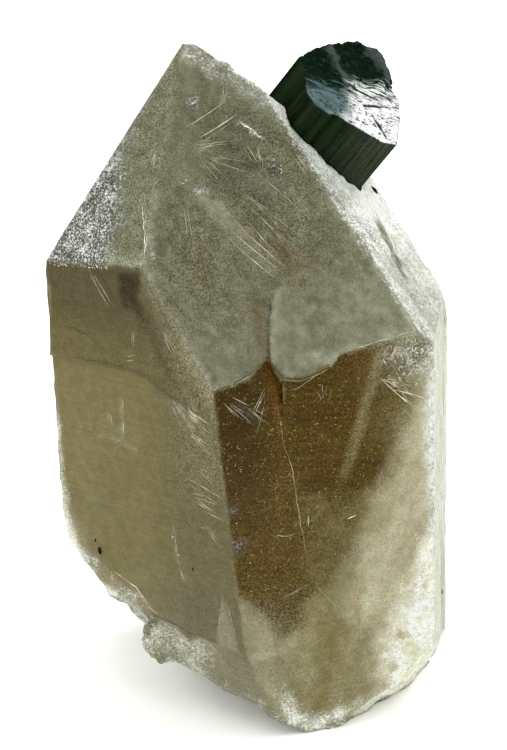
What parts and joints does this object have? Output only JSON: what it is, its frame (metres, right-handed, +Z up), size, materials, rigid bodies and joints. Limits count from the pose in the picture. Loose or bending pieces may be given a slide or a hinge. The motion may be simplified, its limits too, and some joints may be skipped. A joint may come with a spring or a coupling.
{
  "type": "smoky quartz crystal with elbaite",
  "caption": "Smoky quartz crystal, a six-sided prism with a steep faceted tip and a broken base, with a dark green elbaite prism seated on the edge of its tip.",
  "frame": {"origin": "middle of the bottom of the bounding box, on the flat underside that the crystal stands on", "axes": "+Z up, close to the quartz prism's length; -Y towards the viewer of the picture; +X to the viewer's right"},
  "size_m": [0.0536, 0.051, 0.0865],
  "materials": {
    "smoky_quartz": "satin",
    "elbaite": "gloss"
  },
  "bodies": {
    "root": {"quartz_crystal": "smoky_quartz", "elbaite_crystal": "elbaite"}
  },
  "joints": []
}
